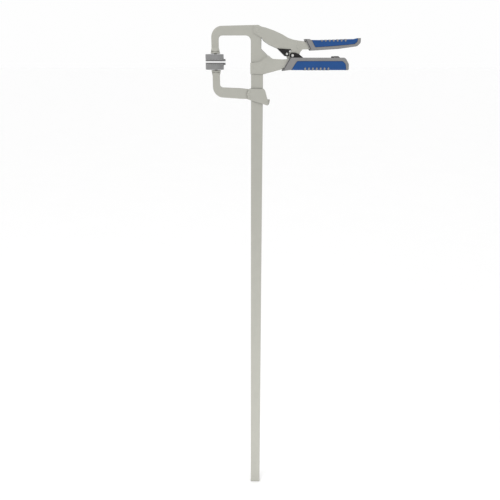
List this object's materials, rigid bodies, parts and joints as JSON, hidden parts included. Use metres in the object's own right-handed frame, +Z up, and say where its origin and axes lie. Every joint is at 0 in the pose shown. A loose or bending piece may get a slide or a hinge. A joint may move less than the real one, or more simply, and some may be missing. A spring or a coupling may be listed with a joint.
{
  "type": "locking f clamp",
  "caption": "Locking F clamp: a flat bar with a lever-operated upper jaw and locking handles, and a lower arm that slides along the bar and is freed by a trigger.",
  "frame": {"origin": "middle of the upper pad's clamping face, with the jaw closed and locked", "axes": "+Z up along the bar, +X from the pads to the handles, -Y the side seen in the picture"},
  "size_m": [0.2779, 0.033, 1.049],
  "materials": {
    "satin_metal": "satin nickel plated",
    "bare_steel": "bright steel",
    "black_steel": "black oxide, satin",
    "grip_grey": "soft moulded grip",
    "grip_blue": "moulded panel",
    "pad_grey": "matt",
    "pad_cap": "soft non-marring cap"
  },
  "bodies": {
    "frame": {"main_bar": "satin_metal", "body_shell": "satin_metal", "bar_rivet_1": "satin_metal", "bar_rivet_2": "satin_metal", "jaw_pivot_pin": "satin_metal", "lower_grip_body": "grip_grey", "lower_grip_panel": "grip_blue", "wheel_bearing_1": "satin_metal", "wheel_bearing_2": "satin_metal", "return_spring": "bare_steel"},
    "upper_jaw": {"upper_arm": "satin_metal", "lever_pivot_pin": "satin_metal", "upper_pad_stud": "bare_steel"},
    "lever": {"lever_shell": "satin_metal", "lever_rivet": "satin_metal", "link_pivot_pin": "bare_steel", "cam_wedge": "black_steel", "cam_pin": "bare_steel", "upper_grip_body": "grip_grey", "upper_grip_panel": "grip_blue"},
    "toggle": {"toggle_link": "black_steel"},
    "slider": {"slider_block": "bare_steel", "slider_pin": "bare_steel"},
    "wheel": {"force_wheel": "grip_grey", "wheel_collar": "black_steel"},
    "rod": {"force_rod": "bare_steel"},
    "upper_swivel": {"upper_pad_ring": "satin_metal"},
    "upper_pad": {"upper_pad_body": "pad_grey", "upper_pad_cap": "pad_cap"},
    "lower_jaw": {"lower_arm": "satin_metal", "yoke_shell": "satin_metal", "yoke_rivet_1": "satin_metal", "yoke_rivet_2": "satin_metal", "trigger_pin": "satin_metal", "trigger_spring": "bare_steel", "lower_pad_stud": "bare_steel"},
    "trigger": {"release_trigger": "satin_metal"},
    "lower_swivel": {"lower_pad_ring": "satin_metal"},
    "lower_pad": {"lower_pad_body": "pad_grey", "lower_pad_cap": "pad_cap"}
  },
  "joints": [
    {"name": "jaw_swing", "type": "hinge", "parent": "frame", "child": "upper_jaw", "pos_m": [0.087, 0, -0.0075], "axis": [0, 1, 0], "range_deg": [0, 15]},
    {"name": "lever_swing", "type": "hinge", "parent": "upper_jaw", "child": "lever", "pos_m": [0.0775, 0, 0.052], "axis": [0, 1, 0], "range_deg": [-29.1, 0]},
    {"name": "toggle_swing", "type": "hinge", "parent": "lever", "child": "toggle", "pos_m": [0.1406, 0, 0.0098], "axis": [0, 1, 0], "range_deg": [0, 47.1]},
    {"name": "slider_travel", "type": "slide", "parent": "frame", "child": "slider", "axis": [1, 0, 0], "range_m": [0, 0.0107], "deforming": ["return_spring"]},
    {"name": "wheel_turn", "type": "hinge", "parent": "frame", "child": "wheel", "pos_m": [0.2185, 0, 0.0009], "axis": [1, 0, 0], "range_deg": [-721, 721]},
    {"name": "rod_travel", "type": "slide", "parent": "frame", "child": "rod", "axis": [-1, 0, 0], "range_m": [-0.0025, 0.0025]},
    {"name": "upper_ring_spin", "type": "hinge", "parent": "upper_jaw", "child": "upper_swivel", "pos_m": [0.0016, 0, 0.0143], "axis": [0, 0, 1], "continuous": true},
    {"name": "upper_pad_tilt", "type": "hinge", "parent": "upper_swivel", "child": "upper_pad", "pos_m": [0.0016, 0, 0.0085], "axis": [0, 1, 0], "range_deg": [-6.5, 6.5]},
    {"name": "arm_slide", "type": "slide", "parent": "frame", "child": "lower_jaw", "axis": [0, 0, -1], "range_m": [-0.0019, 0.911]},
    {"name": "trigger_press", "type": "hinge", "parent": "lower_jaw", "child": "trigger", "pos_m": [0.0926, 0, -0.0694], "axis": [0, -1, 0], "range_deg": [0, 8], "stiffness_Nm_per_rad": 0.02, "springref_deg": -14.32, "deforming": ["trigger_spring"]},
    {"name": "lower_ring_spin", "type": "hinge", "parent": "lower_jaw", "child": "lower_swivel", "pos_m": [0.0023, 0, -0.0165], "axis": [0, 0, 1], "continuous": true},
    {"name": "lower_pad_tilt", "type": "hinge", "parent": "lower_swivel", "child": "lower_pad", "pos_m": [0.0023, 0, -0.0107], "axis": [0, 1, 0], "range_deg": [-6.5, 6.5]}
  ],
  "couplings": [
    {"joint": "lever_swing", "follows": "jaw_swing", "ratio": -1.9333},
    {"joint": "toggle_swing", "follows": "jaw_swing", "ratio": 3.1333},
    {"joint": "slider_travel", "follows": "jaw_swing", "m_per_rad": 0.040489},
    {"joint": "wheel_turn", "follows": "rod_travel", "rad_per_m": 5026.5}
  ]
}
